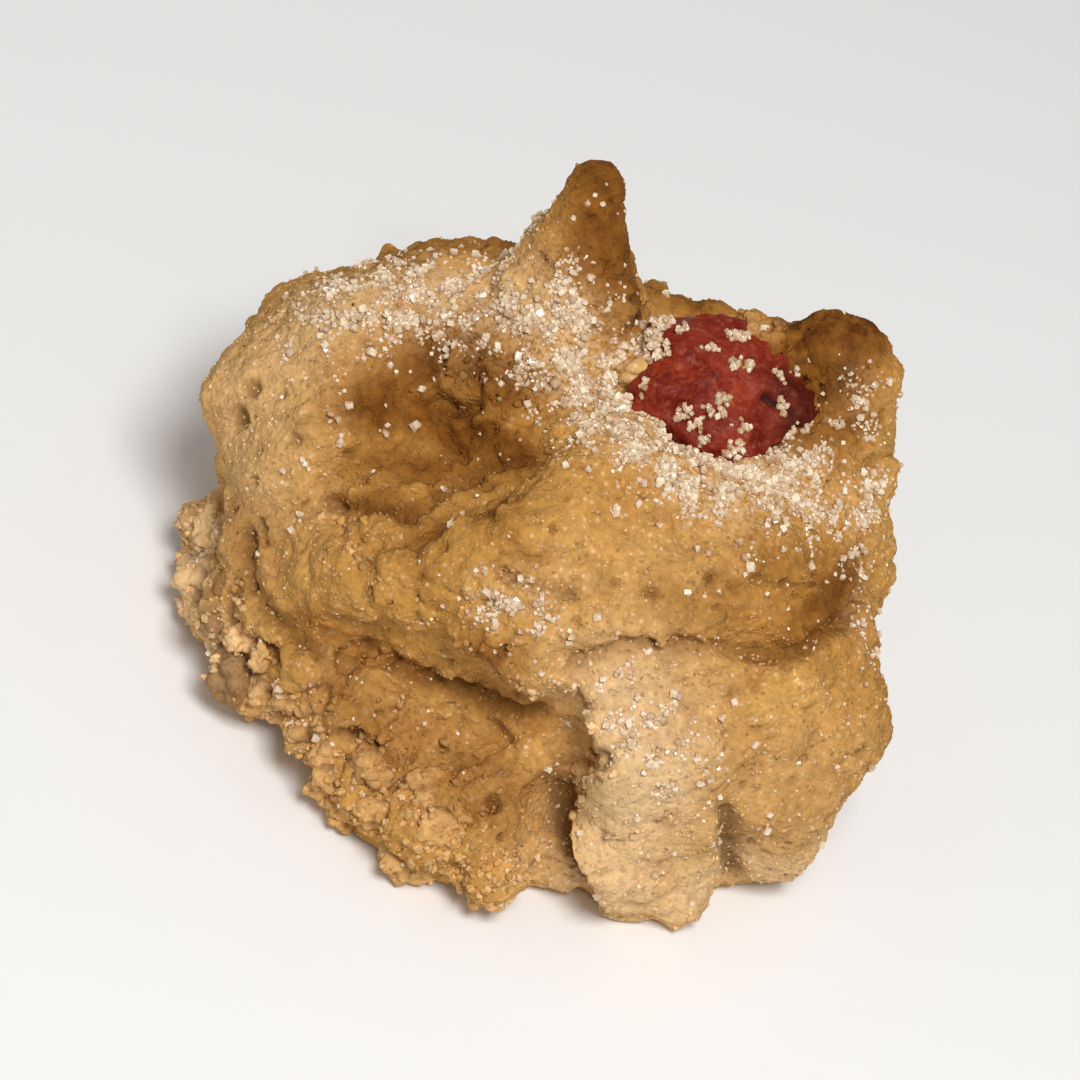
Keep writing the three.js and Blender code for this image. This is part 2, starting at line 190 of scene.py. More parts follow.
CRACKS = [  # with their depth in millimetres for strength
    (BELOW_DIMPLE, 0.7, 1.1),
    ([(-19, -20, 16), (-14, -21, 17), (-9, -21, 17)], 0.9, 0.6),  # left end of the deep fold
    ([(-9, -21, 17), (-4, -21, 17), (0, -21, 17), (5, -22, 19)], 1.1, 1.3),  # deep fold
    (BELOW_BULGE, 0.8, 1.1),
    (BULGE_END, 0.9, 1.3),
    ([(-2, -22, 34), (1, -22, 34), (4, -22, 35)], 0.7, 0.9),  # left end of the bulge
    ([(10, -19, 36), (11, -19, 36)], 0.45, 0.8),  # face of the bulge
    ([(15, -15, 37), (18, -15, 37)], 0.45, 0.8),  # right of that
    ([(19, -13, 37), (21, -12, 36), (23, -10, 35)], 0.5, 0.9),  # right end of the bulge
    ([(-10, -23, 30), (-8, -23, 25)], 0.45, 0.6),  # lump under the bulge
    ([(-24, -16, 14), (-23, -17, 11), (-18, -20, 13), (-15, -21, 13)], 0.9, 1.0),  # crumbled edge
    ([(25, -24, 18), (26, -23, 14), (27, -21, 10), (28.5, -19, 4)], 1.0, 1.6),  # notch of the foot
    ([(2, -22, 15), (4, -22, 14)], 0.5, 0.9),  # below the deep fold
    (ABOVE_EDGE, 1, 1.3),
    (TOE_EDGE, 1, 1.6),
    ([(-14.8, -2.2, 33.4), (-12.6, -3.2, 32.6), (-10.5, -3, 34)], 0.6, 1.0),  # under a lump in the dimple
    ([(-12.2, 0.3, 37), (-11.3, -0.9, 36), (-10.7, -2, 35.6)], 0.45, 0.8),  # right of that lump
]

# Hair cracks: how many, their run along each axis and beyond, width and depth.
HAIR_CRACKS = 50
HAIR_RUN = (1.6, 1.6, 0.5)
HAIR_ONWARD = 0.5
HAIR_BEND = 0.6
HAIR_WIDTH = (0.28, 0.45)
HAIR_DEPTH = (0.4, 0.9)
HAIR_LOWEST = 3

# Swellings of the crust and, where negative, dents: points passed, reach and height.
SWELLINGS = [
    ([(14.5, -27.5, 10.5), (17, -28.5, 8)], 2.5, 1.0),  # toe of the foot
    ([(9.3, -25.2, 11), (10.8, -27.4, 8), (12, -28, 5)], 2.2, -1.6),  # lobe left of the toe
    ([(13.8, 13.4, 42.3), (15.4, 12.4, 43.4)], 2, 0.9),  # ridge right of the cherry
    ([(-13.3, -0.8, 35.3)], 2.2, 1.2),  # lump in the dimple
    ([(-10.5, -0.5, 37)], 1.8, 0.8),  # right of that lump
    ([(-6.7, -0.9, 36.3)], 2, 0.6),  # right end of the dimple
    ([(-12.6, -3.9, 31.9), (-10.2, -5.3, 32.2)], 1.8, -0.9),  # middle of the dimple
    ([(22, -12, 35), (26, -6, 34)], 3, 0.8),  # right end of the bulge
    ([(7, 20, 36)], 1.3, 1.0),  # knob behind the cherry
    ([(16.5, 14, 45)], 2.5, 0.9),  # left shoulder of the stout peak
    ([(26.5, 9.5, 39)], 3, 0.9),  # right side of the stout peak
    ([(-17, -19, 18), (-10, -21, 17), (-2, -21, 17)], 3.5, 0.6),  # hollow under the bulge
    ([(-19, -17, 22), (-13, -20, 25)], 4, 0.9),  # under the dimple
    ([(-33, 8, 28), (-30, 10, 31), (-25, 10, 35), (-20, 12, 38), (-15, 13, 40)], 5, -1.3),  # left crest
    ([(-31, -9, 6), (-25, -17, 6), (-16, -23, 5), (-6, -30, 5), (6, -31, 5)], 4, -1.4),  # crumbled edge
    ([(25.5, -23, 3)], 2.2, 1.4),  # right corner of the toe
]

# Steps in the crust: points passed, the side that stands higher, height and reach.
LEDGES = [
    (FOOT_EDGE, (1, 0, 0.2), 2.4, 3),
    (BELOW_BULGE[:-1], (0, -0.5, -0.9), 0.9, 4),
]
LEDGE_RUN = 0.6  # millimetres across which most of a step is climbed

# Larger holes: middle, radius and depth.
HOLES = [
    ((-31, -7, 25), 1.6, 1.2), ((-31, -6, 28), 1.2, 0.9),  # left flank
    ((-25, -11, 29), 0.9, 0.7), ((-28, -7, 30), 0.6, 0.6),  # top of the left flank
    ((-10, -27, 12), 1.5, 1.2), ((4.5, -28.5, 12), 1.2, 1.5), ((5, -28, 10.5), 0.9, 1.3),  # lobe
    ((23, -20, 27.5), 0.9, 0.8), ((26, -15, 29), 0.7, 0.6),  # under the bulge
    ((25, -23, 23), 0.7, 0.8), ((28, -24.5, 15.5), 1.2, 0.8),  # right of the foot
    ((16, -24.5, 27), 0.5, 0.6), ((12.3, -28.5, 23.2), 1.1, 1.5),  # top of the foot
    ((34, -15, 23), 1.3, 0.8),  # right side
    ((-12, -1, 36), 1.0, 1.0),  # top of the dimple
]
HOLE_BOWL = 1.3  # a hole is a bowl of so many times its depth, with a flat floor at its depth
HOLE_SPAN = 1.4  # times its radius, within which a hole may reach
PORES = 480
PORE_RADIUS = (0.28, 0.65)
PORE_DEPTH = (0.35, 0.8)
PORE_LOWEST = 1

# Noise over the crust: how far across its swells are, and the shift that sets it apart from the others.
CRAGS = (6.0, 3.0)
LUMPS = (2.8, 23.0)
GRIT = (1.4, 29.0)
KNOBS = (2.4, 5.0)
WIDE_CRUMB = (5.5, 19.0)
MID_CRUMB = (2.2, 37.0)
FINE_CRUMB = (1.1, 8.0)
LAYERS = (2.4, 13.0)
LAYER_STRETCH = (0.3, 0.5, 1.0)
WOBBLE = (1.6, 2.0)
JAGS = (3.0, 71.0)
SUGAR_CLUMPS = (1.8, 57.0)
SUGAR_EDGES = (4.0, 51.0)
PATCHES = (6.0, 31.0)
BROWNING = (4.0, 41.0)
WARP_ACROSS = 4.0
WARP_SHIFTS = (61.0, 67.0, 73.0)
WARP_REACH = 0.9
RIDGE_LEVEL = 0.2  # taken off ridges, so that they are level on the whole
KNOB_LEVEL = 0.6  # the same for knobs
KNOB_RADIUS = 0.85  # of a knob, in spacings of the knobs
TRAY_FADE = 1.5  # height below which the roughness fades towards the flat underside

# Painted shade: how dark the crust is painted in cracks, in holes and between crags, for each millimetre of
# their depth.
CRACK_PAINTED_SHADE = 0.7
HOLE_PAINTED_SHADE = 0.9
SUNK_PAINTED_SHADE = 0.5

# The cherry: how finely its mesh is cut and smoothed, its noise as above, a slit and a dark end, both with
# painted shade.
CHERRY_CUTS = 3
CHERRY_ROUNDS = 6
WRINKLES = (3.2, 4.0)
FINE_WRINKLES = (1.3, 9.0)
SKIN = (0.7, 15.0)
SLIT_EDGES = (1.0, 17.0)
DARK_EDGES = (2.5, 19.0)
CHERRY_SLIT = ([(14, 3.3, 43), (16.6, 3.9, 42)], 0.5, 1.0)
CHERRY_SHADED_END = ([(16, 6.5, 43), (18.6, 6.5, 42), (17.5, 4, 41)], 2.8, 0.7)
SLIT_DEPTH = 0.6

# Rows of clods, two along the crumbled edge and one above the toe: points passed, count and sizes.
CLOD_ROWS = [
    ([(-32, 0, 4), (-31, -9, 4), (-25, -17, 4), (-16, -23, 4), (-6, -30, 3), (7, -31, 3)], 32, (2.5, 5.5)),
    ([(-31, -6, 9), (-25, -14, 9), (-17, -20, 9), (-7, -27, 8), (4, -30, 8)], 24, (2, 4.2)),
    ([(10, -23.6, 14), (11, -24, 13.4)], 3, (2.2, 3)),
]
CLOD_SCATTER = 1.2  # millimetres that clods stray from their row
CLOD_SINK = 0.2  # share of its size that a clod is sunk by
CLOD_BALL = (4, 0.4)  # splits and lumpiness
CLOD_KNOBS = (1.9, 11.0)
CLOD_RIDGES = (1.1, 43.0)
CLOD_GRIT = (0.9, 47.0)
CLOD_FOOT_PAINTED_SHADE = 0.25  # painted shade: how dark a clod is painted where it meets the crust
CLOD_PAINTED_SHADE_FALL = 0.8  # how fast that falls, for each millimetre of height
# Clods are coloured lighter and paler than the crust, partly as their own paler dough and partly as painted
# light on them.
CLOD_TONE_WITH_PAINTED_LIGHT = 0.76
CLOD_PALER_WITH_PAINTED_LIGHT = 0.3

# Dough over the right edge of the cherry and in the gap left of it: middles of its lumps, and sizes.
CHERRY_LAP = [
    (11.4, 11.2, 44), (12.8, 10.3, 43.9), (14.3, 10.6, 43.4), (15.3, 9.9, 42.6), (16.5, 9.6, 42),
    (17.6, 8.8, 41.6), (1.2, 8, 39.2), (1.6, 6.4, 39), (2.6, 4.8, 39.2),
]
LAP_SIZE = (3.2, 4)

# Crumbs and granules: how many, how large, where they lie and how they vary.
CRUMBS = 1200
CLOD_CRUMBS = 1100
CRUMB_SIZE = (0.35, 1.0)
CRUMB_SMALLNESS = 1.8  # higher makes more of them small
CRUMB_LOWEST = 1.5
CLOD_CRUMB_LOWEST = 0.8
CRUMB_LIFT = 0.05  # share of its size that a crumb stands off
CRUMB_BALL = (2, 0.6)
CRUMB_UNEVEN = 0.05
CRUMB_TONES = (0.1, 1.0)
CRUMB_PALER = 0.75
GRANULES = 9900
GRANULE_SIZE = (0.2, 0.5)
GRANULE_LOWEST = 1
GRANULE_SINK = 0.1  # share of its size that a granule is sunk by
GRANULE_BALL = (1, 0.6)

# Sugar: how many crystals, how large, where they lie besides the strokes and how they vary.
COARSE_SUGAR = 1600
CLOD_SUGAR = 160
COARSE_SIZE = (0.3, 0.7)
COARSE_CHAMFER = 0.15
COARSE_LIFT = (0, 0.4)  # share of its size that a crystal stands off
COARSE_STRAYS = 0.0006  # how thickly it lies everywhere
COARSE_LOWEST = 4
CLOD_SUGAR_LOWEST = 1
FINE_SUGAR = 9000
FINE_SIZE = (0.16, 0.36)
FINE_CHAMFER = 0
FINE_STRAYS = 0.0014
FINE_LOWEST = 2
SUGAR_LEAN = 0.5  # how far the crust may lean over for sugar to lie on it
STRAY_LEAN = 0.6
SUGAR_THINNING = 1.4  # higher thins the sugar out more towards the edges of its strokes
SUGAR_TONES = 0.67
SUGAR_PAINTED_TOP_LIGHT = 0.6  # painted light: how much lighter a crystal is painted for each of its sizes upwards

# Clumps of crystals, round the cherry and elsewhere: sizes, scatter, how many in each, and middles.
CLUMP_SIZE = (0.3, 0.6)
CLUMP_SCATTER = 0.33
CLUMP_DARKER = 0.08
CHERRY_CLUMP_COUNT = 10
CRUST_CLUMP_COUNT = 3
CHERRY_CLUMPS = [
    (2.4, 5.4, 41.6), (1.8, 7, 40.5), (3.5, 4.7, 41.8), (2.6, 6.4, 42.5), (1.5, 8.5, 40), (3, 5.2, 42.6),
    (1.3, 9.4, 39.6), (2.2, 8, 41.6), (0.8, 7.6, 39.4), (1.4, 6, 39.4), (2.8, 4.2, 40.8), (0.5, 9, 40),
    (4.1, 6.7, 44), (7.6, 5.7, 44.2), (8.8, 8.4, 44), (9.9, 8.2, 44.3), (10.1, 5, 43.8), (11.3, 5.6, 44),
    (14.4, 6.1, 43.3), (15.9, 8.7, 42.6), (3.1, 1.1, 40.8), (9.6, 0.5, 41.5), (10.4, 1.9, 42.4),
    (10.7, 0.5, 41.8), (7.8, 0.3, 40.9), (7.1, -0.4, 40), (8.8, -0.7, 40.2), (10, -1.5, 39.7),
    (15.8, 4, 42.3), (17.3, 3.5, 40.1), (18.9, 4.5, 40.3), (13.1, -0.9, 40), (12.6, -1.5, 39.4),
    (21.1, 6, 40.6), (20.9, 2.1, 41.1), (12.8, 0.2, 41.5), (1.2, 7.5, 40.5), (1.6, 6.4, 40.6),
    (2.2, 5.2, 40.6), (0.8, 6.8, 40.2), (1, 8.4, 40.6), (1.9, 6.4, 42.3), (2.4, 7.3, 43),
    (2.7, 5.7, 42.4), (3, 7.8, 43.1), (2.1, 7, 42.6), (2.2, 5.9, 42), (2, 8.2, 42.6),
]
CRUST_CLUMPS = [
    (-7.8, 11, 51), (-10.3, -11, 30.5), (-21.7, -14.5, 23.5), (-22, -9.2, 31.7), (-21, -10.3, 30.6),
    (-17.8, -7.4, 30.8), (-23.5, -12.2, 28), (5, -14, 39),
]

# Shares by which the copies of a small shape are stretched, and by which their points stray.
COPY_STRETCH = (0.7, 1.2)
COPY_UNEVEN = 0.08

# Colours as the screen shows them: red, green and blue from 0 to 255.
GOLDEN = (196, 145, 73)
PALE_DOUGH = (226, 188, 136)
ORANGE = (180, 118, 52)
BROWN = (148, 94, 30)
# also the colour of the painted shade in creases and hollows
DARK_BROWN = (88, 46, 6)
LIGHT_SPECK = (240, 208, 158)
DARK_SPECK = (126, 78, 28)
SUGAR_DUST = (222, 190, 146)
# sugar from tan to white, by random tone and by painted light from each crystal's foot to its top
SUGAR_FOOT = (172, 126, 74)
SUGAR_TOP = (252, 235, 207)
CHERRY_RED = (112, 26, 13)
CHERRY_BRIGHT = (150, 52, 28)
CHERRY_DEEP = (66, 10, 8)
CHERRY_FLESH = (176, 92, 60)
# painted shade in the cherry's slit and at its right end
CHERRY_PAINTED_SHADE = (40, 8, 6)

# Camera: from the front and above, rolled as the leaning cake was seen.
VIEW_ELEVATION = math.radians(45)
VIEW_ROLL = math.radians(22)
VIEW_DISTANCE = 450 * MM
VIEW_HALF_WIDTH = 51.3 * MM
VIEW_TARGET = (Vector((-0.55, -4.13, 22)) + PLACES_FROM) * MM
SENSOR_WIDTH = 36
NEAREST_SEEN = 0.01

# Studio: one soft square light, an even sky and a pale floor, in metres, watts and linear colours.
LIGHT_TOWARDS = (0.14, -0.48, 0.86)
LIGHT_DISTANCE = 0.6
LIGHT_SIDE = 0.18
LIGHT_POWER = 2.9
SKY_COLOUR = (1, 0.99, 0.97, 1)
SKY_STRENGTH = 0.33
FLOOR_COLOUR = (0.9, 0.9, 0.89, 1)
FLOOR_REACH = 3


def smooth(bm, verts, rounds):
    """Moves each vert halfway to the middle of its neighbours, so many times."""
    for _ in range(rounds):
        bmesh.ops.smooth_vert(bm, verts=verts, factor=0.5, use_axis_x=True, use_axis_y=True, use_axis_z=True)


def merged_copy(node):
    """A copy of a CAD node's mesh, its loose triangles joined."""
    bm = bmesh.new()
    bm.from_mesh(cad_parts[node].data)
    bmesh.ops.remove_doubles(bm, verts=bm.verts, dist=MERGE_DISTANCE)
    return bm


def mesh_from(bm, name):
    mesh = bpy.data.meshes.new(name)
    bm.to_mesh(mesh)
    bm.free()
    return mesh


def add_object(data, name):
    added = bpy.data.objects.new(name, data)
    bpy.context.scene.collection.objects.link(added)
    return added


def even_mesh(mesh, pitch):
    """The same closed shape in even quads of a pitch."""
    raw = add_object(mesh, "raw")
    remesh = raw.modifiers.new("even", "REMESH")
    remesh.mode = "VOXEL"
    remesh.voxel_size = pitch
    depsgraph = bpy.context.evaluated_depsgraph_get()
    even = bpy.data.meshes.new_from_object(raw.evaluated_get(depsgraph))
    bpy.data.objects.remove(raw)
    return even


def linked_patches(verts):
    """Groups of the verts that are joined by edges, in the order of their first verts."""
    left = set(verts)
    patches = []
    for first in verts:
        if first not in left:
            continue
        left.remove(first)
        patch = []
        edge_of_patch = [first]
        while edge_of_patch:
            vert = edge_of_patch.pop()
            patch.append(vert)
            near = [edge.other_vert(vert) for edge in vert.link_edges]
            fresh = [other for other in near if other in left]
            left.difference_update(fresh)
            edge_of_patch.extend(fresh)
        patches.append(patch)
    return patches


def take_off_grains(bm):
    """Smooths the fused sugar grains off the crust and returns their middles."""
    as_packed = [vert.co.copy() for vert in bm.verts]
    smooth(bm, bm.verts, GRAIN_ROUNDS)
    bm.normal_update()
    proud = [
        vert
        for vert, co in zip(bm.verts, as_packed)
        if (co - vert.co).dot(vert.normal) > GRAIN_PROUD and co.z > GRAIN_LOWEST
    ]
    for vert, co in zip(bm.verts, as_packed):
        vert.co = co
    middles = []
    covered = set()
    for patch in linked_patches(proud):
        places = np.array([vert.co for vert in patch])
        if len(patch) < GRAIN_POINTS or np.ptp(places, axis=0).max() > GRAIN_ACROSS:
            continue
        middles.append(Vector(places.mean(axis=0)))
        covered.update(patch)
    for _ in range(GRAIN_RINGS):
        covered.update([edge.other_vert(vert) for vert in covered for edge in vert.link_edges])
    smooth(bm, list(covered), GRAIN_FILL_ROUNDS)
    return middles


def flatten_base(bm):
    """Sets the crust's underside flat and joins its faces into one."""
    for vert in bm.verts:
        if vert.co.z < BASE_HEIGHT:
            vert.co.z = 0
    under = [face for face in bm.faces if all(vert.co.z == 0 for vert in face.verts)]
    bmesh.ops.dissolve_faces(bm, faces=under, use_verts=False)


def swell(places, across, shift):
    """Smooth noise over places, from about -1 to 1, with swells so many millimetres across."""
    offset = Vector((shift, shift, shift))
    return np.array([noise.noise(Vector(place) / across + offset) for place in places])


def ridges(places, across, shift):
    """Rounded ridges with creases between them, about level on the whole."""
    return np.abs(swell(places, across, shift)) - RIDGE_LEVEL


def knobs(places, across, shift):
    """Close-packed round knobs with creases between them, about level on the whole."""
    offset = Vector((shift, shift, shift))
    near = np.array([noise.voronoi(Vector(place) / across + offset)[0][0] for place in places])
    return np.sqrt(np.clip(1 - (near / KNOB_RADIUS) ** 2, 0, 1)) - KNOB_LEVEL


def laid_points(points, step, tree):
    """Points a step apart along a stroke, moved on to the tree's surface."""
    laid = []
    for start, end in zip(points, points[1:] or points):
        start, end = Vector(start), Vector(end)
        steps = max(1, round((end - start).length / step))
        for i in range(steps + 1):
            place = (start.lerp(end, i / steps) + PLACES_FROM) * MM
            laid.append(tree.find_nearest(place)[0] / MM)
    return np.array(laid)


def near_row(places, row, reach):
    """Which places are near a row of points, and the way to each from its nearest point."""
    low = row.min(axis=0) - STROKE_SPAN * reach
    high = row.max(axis=0) + STROKE_SPAN * reach
    near = np.flatnonzero(np.all((places > low) & (places < high), axis=1))
    steps = places[near, None, :] - row[None, :, :]
    nearest = (steps * steps).sum(axis=2).argmin(axis=1)
    return near, steps[np.arange(len(near)), nearest]


def stroke_weight(places, strokes, tree, wobble):
    """How strongly any of the strokes covers each place, from 0 to the stroke's strength."""
    weight = np.zeros(len(places))
    for points, reach, strength in strokes:
        row = laid_points(points, min(STROKE_STEP, reach / 2), tree)
        near, steps = near_row(places, row, reach + STRAY_ROOM)
        distance = np.linalg.norm(steps, axis=1) + wobble[near]
        weight[near] = np.maximum(weight[near], strength * np.exp(-((distance / reach) ** 2)))
    return weight


def swelling_rise(places, tree, wobble):
    """How far the swellings and dents move the crust."""
    rise = np.zeros(len(places))
    for points, reach, height in SWELLINGS:
        rise += height * stroke_weight(places, [(points, reach, 1.0)], tree, wobble)
    return rise


def ledge_rise(places, tree, wobble):
    """How far the ledges raise and sink the crust."""
    rise = np.zeros(len(places))
    for points, high_side, height, reach in LEDGES:
        row = laid_points(points, STROKE_STEP, tree)
        near, steps = near_row(places, row, reach)
        aside = steps @ np.array(Vector(high_side).normalized()) + wobble[near]
        fading = np.exp(-((np.linalg.norm(steps, axis=1) / reach) ** 2))
        rise[near] += height / 2 * np.tanh(aside / LEDGE_RUN) * fading
    return rise


def hole_depth(places, holes, wobble):
    """How deep the holes are at each place."""
    tree = KDTree(len(places))
    for i, place in enumerate(places):
        tree.insert(place, i)
    tree.balance()
    depth = np.zeros(len(places))
    for middle, radius, deep in holes:
        for _, i, distance in tree.find_range(Vector(middle), HOLE_SPAN * radius):
            share = max(distance + wobble[i], 0) / radius
            depth[i] = max(depth[i], deep * min(max(HOLE_BOWL - HOLE_BOWL * share ** 2, 0), 1))
    return depth


def random_pores(places, rng):
    """Small pores at places drawn from the crust's points."""
    drawn = places[rng.integers(0, len(places), PORES)]
    drawn = drawn[drawn[:, 2] > PORE_LOWEST]
    radii = rng.uniform(*PORE_RADIUS, len(drawn))
    depths = rng.uniform(*PORE_DEPTH, len(drawn))
    return list(zip(drawn, radii, depths))


def random_cracks(places, rng):
    """Short hair cracks that run mostly along the crust's swells."""
    cracks = []
    for start in places[rng.integers(0, len(places), HAIR_CRACKS)]:
        if start[2] < HAIR_LOWEST:
            continue
        run = rng.normal(size=3) * HAIR_RUN
        end = start + run
        beyond = end + run * HAIR_ONWARD + rng.normal(size=3) * HAIR_BEND
        cracks.append(([start, end, beyond], rng.uniform(*HAIR_WIDTH), rng.uniform(*HAIR_DEPTH)))
    return cracks


def triples(items, field, kind=float):
    """A field of three values of each of a mesh's items."""
    flat = np.zeros(3 * len(items), kind)
    items.foreach_get(field, flat)
    return flat.reshape(-1, 3)


def coordinates(mesh):
    return triples(mesh.vertices, "co")


def normals(mesh):
    return triples(mesh.vertex_normals, "vector")


def move_points(mesh, places):
    """Moves a mesh's points to places in millimetres."""
    mesh.vertices.foreach_set("co", (places * MM).ravel())
    mesh.update()


def surface_tree(mesh):
    """A tree that finds the place on a mesh that is nearest to another place."""
    return BVHTree.FromPolygons(coordinates(mesh).tolist(), [face.vertices[:] for face in mesh.polygons])


def mark(mesh, name, values):
    """Keeps a value from 0 to 1 at each of the mesh's points, for its material."""
    attribute = mesh.attributes.new(name, "FLOAT", "POINT")
    attribute.data.foreach_set("value", np.clip(values, 0, 1).astype(np.float32))


def crust_relief(places, crumbled, craggy, layered, calm):
    """How far the crags and the crumb stand out at each place; the weights are in millimetres."""
    warp = np.stack([swell(places, WARP_ACROSS, shift) for shift in WARP_SHIFTS], axis=1)
    places = places + WARP_REACH * warp
    rough = 1 - 0.8 * calm
    relief = 1.5 * rough * ridges(places, *CRAGS)
    relief += (rough + 0.8 * craggy) * ridges(places, *LUMPS)
    relief += (0.55 - 0.33 * calm + 0.5 * craggy) * ridges(places, *GRIT)
    relief += (0.3 * rough + craggy) * knobs(places, *KNOBS)
    relief += crumbled * (knobs(places, *WIDE_CRUMB) + 0.9 * knobs(places, *MID_CRUMB))
    relief += (0.1 + 0.25 * crumbled + 0.35 * craggy) * knobs(places, *FINE_CRUMB)
    relief += 1.1 * layered * ridges(places * LAYER_STRETCH, *LAYERS)
    return relief


class Crust:
    """The crust's piece, and what else needs to be known of its points.

    Strokes are laid on its tree, from before it was roughened, and things lie on its surface.
    """

    def __init__(self):
        bm = bmesh.new()
        bm.from_mesh(even_mesh(mesh_from(merged_copy("dough"), "dough_copy"), CRUST_PITCH))
        self.grain_middles = take_off_grains(bm)
        smooth(bm, bm.verts, FACET_ROUNDS)
        flatten_base(bm)
        self.tree = BVHTree.FromBMesh(bm)
        self.mesh = mesh_from(bm, "crust")
        self.roughen()
        self.mesh.shade_smooth()
        self.piece = add_object(self.mesh, "crust")

    def roughen(self):
        """Works the crags, ledges, cracks and pores into the crust, and marks its colours, its painted shade
        and its sugar.
        """
        rng = np.random.default_rng(CRUST_SEED)
        places = coordinates(self.mesh) / MM
        wobble = 0.35 * swell(places, *WOBBLE)
        self.crumbled = stroke_weight(places, CRUMBLED, self.tree, 4 * wobble)
        craggy = stroke_weight(places, CRAGGY, self.tree, 4 * wobble)
        layered = stroke_weight(places, LAYERED, self.tree, wobble)
        calm = stroke_weight(places, CALM, self.tree, wobble)
        cracked = stroke_weight(places, CRACKS + random_cracks(places, rng), self.tree, wobble)
        placed_holes = [(Vector(middle) + PLACES_FROM, radius, deep) for middle, radius, deep in HOLES]
        holes = hole_depth(places, placed_holes + random_pores(places, rng), 0.6 * wobble)
        relief = crust_relief(places, self.crumbled, craggy, layered, calm)
        jagged = 2 * wobble + 0.8 * swell(places, *JAGS)
        steps = swelling_rise(places, self.tree, wobble) + ledge_rise(places, self.tree, jagged)
        rise = relief + steps - cracked - holes
        above_tray = np.clip(places[:, 2] / TRAY_FADE, 0, 1)
        places += normals(self.mesh) * (rise * above_tray)[:, None]
        places[:, 2] = np.maximum(places[:, 2], 0)
        move_points(self.mesh, places)
        self.surface = surface_tree(self.mesh)
        # Painted shade, darker in cracks, in holes and in the hollows between crags.
        sunk = np.clip(-relief, 0, None)
        painted_shade = CRACK_PAINTED_SHADE * cracked + HOLE_PAINTED_SHADE * holes + SUNK_PAINTED_SHADE * sunk
        colour_crust(self.mesh, places, self.tree, painted_shade)
        clumps = np.clip(0.25 + 2.6 * swell(places, *SUGAR_CLUMPS), 0.02, 1.5)
        ragged = 1.5 * swell(places, *SUGAR_EDGES)
        self.sugared = stroke_weight(places, SUGARED, self.tree, ragged) ** SUGAR_THINNING * clumps


def colour_crust(mesh, places, tree, painted_shade=0.0, tone=0.5, paler=0.0, each=1):
    """Marks a crust mesh with how it is coloured at each place, given for so many points each."""
    patchy = 1.6 * swell(places, *PATCHES)
    browned_and_painted_shade = stroke_weight(places, BROWNED_AND_PAINTED_SHADE, tree, patchy)
    values = {
        "browned_and_painted_shade": browned_and_painted_shade + 0.15 * swell(places, *BROWNING),
        "pale": stroke_weight(places, PALE, tree, patchy) + paler,
        "sugared": stroke_weight(places, SUGARED, tree, patchy),
        # painted shade in creases and hollows
        "painted_shade": np.zeros(len(places)) + painted_shade,
        "tone": np.zeros(len(places)) + tone,
    }
    for name, at_places in values.items():
        mark(mesh, name, np.repeat(at_places, each))


def shade(colour):
    """A colour as the screen shows it, turned to linear light."""
    parts = [channel / 255 for channel in colour]
    linear = [c / 12.92 if c <= 0.04045 else ((c + 0.055) / 1.055) ** 2.4 for c in parts]
    return (*linear, 1.0)


def add_node(tree, kind, inputs=None, **settings):
    """A node with its settings; each input is set to a value or linked from a socket."""
    node = tree.nodes.new(kind)
    for name, value in settings.items():
        setattr(node, name, value)
    for name, value in (inputs or {}).items():
        if isinstance(value, bpy.types.NodeSocket):
            tree.links.new(value, node.inputs[name])
        else:
            node.inputs[name].default_value = value
    return node


def mix_colours(tree, share, first, second, blend="MIX"):
    """A share of the second colour mixed in; 6, 7 and 2 are the node's colour sockets."""
    inputs = {0: share, 6: first, 7: second}
    return add_node(tree, "ShaderNodeMix", inputs, data_type="RGBA", blend_type=blend).outputs[2]


def tinted(tree, colour, layers):
    """A colour under layers, each a share and the tint that it mixes in."""
    for share, tint in layers:
        colour = mix_colours(tree, share, colour, shade(tint))
    return colour


def reach_between(tree, value, low, high, to_low=0.0, to_high=1.0):
    """Goes from one limit to the other as the value goes from low to high."""
    inputs = {"Value": value, "From Min": low, "From Max": high, "To Min": to_low, "To Max": to_high}
    return add_node(tree, "ShaderNodeMapRange", inputs).outputs["Result"]


def product(tree, first, second):
    return add_node(tree, "ShaderNodeMath", {0: first, 1: second}, operation="MULTIPLY").outputs["Value"]


def cloud(tree, across, detail=3.0, roughness=0.55):
    """Noise over the piece with blots so many millimetres across."""
    place = add_node(tree, "ShaderNodeTexCoord").outputs["Object"]
    inputs = {"Vector": place, "Scale": 1 / (across * MM), "Detail": detail, "Roughness": roughness}
    return add_node(tree, "ShaderNodeTexNoise", inputs).outputs["Fac"]


def cells(tree, across):
    """Close-packed cells over the piece, so many millimetres across."""
    place = add_node(tree, "ShaderNodeTexCoord").outputs["Object"]
    return add_node(tree, "ShaderNodeTexVoronoi", {"Vector": place, "Scale": 1 / (across * MM)}).outputs


def dots(tree, across, share):
    """Round dots in a share of such cells."""
    dotted = cells(tree, across)
    drawn = reach_between(tree, dotted["Color"], 1 - share, 1.02 - share)
    return product(tree, drawn, reach_between(tree, dotted["Distance"], 0.45, 0.2))


def marked(tree, name):
    """The value that a mesh's points are marked with under a name."""
    return add_node(tree, "ShaderNodeAttribute", attribute_name=name).outputs["Fac"]


def new_material(name, **values):
    """A material, its tree and its Principled shader, with the shader's plain values set."""
    material = bpy.data.materials.new(name)
    material.use_nodes = True
    shader = material.node_tree.nodes["Principled BSDF"]
    for socket, value in values.items():
        shader.inputs[socket.replace("_", " ")].default_value = value
    return material, material.node_tree, shader


def bumped(tree, shader, height, depth, invert=False):
    """Gives the surface a fine bump, so many millimetres deep."""
    inputs = {"Height": height, "Strength": 1.0, "Distance": depth * MM}
    bump = add_node(tree, "ShaderNodeBump", inputs, invert=invert)
    tree.links.new(bump.outputs["Normal"], shader.inputs["Normal"])


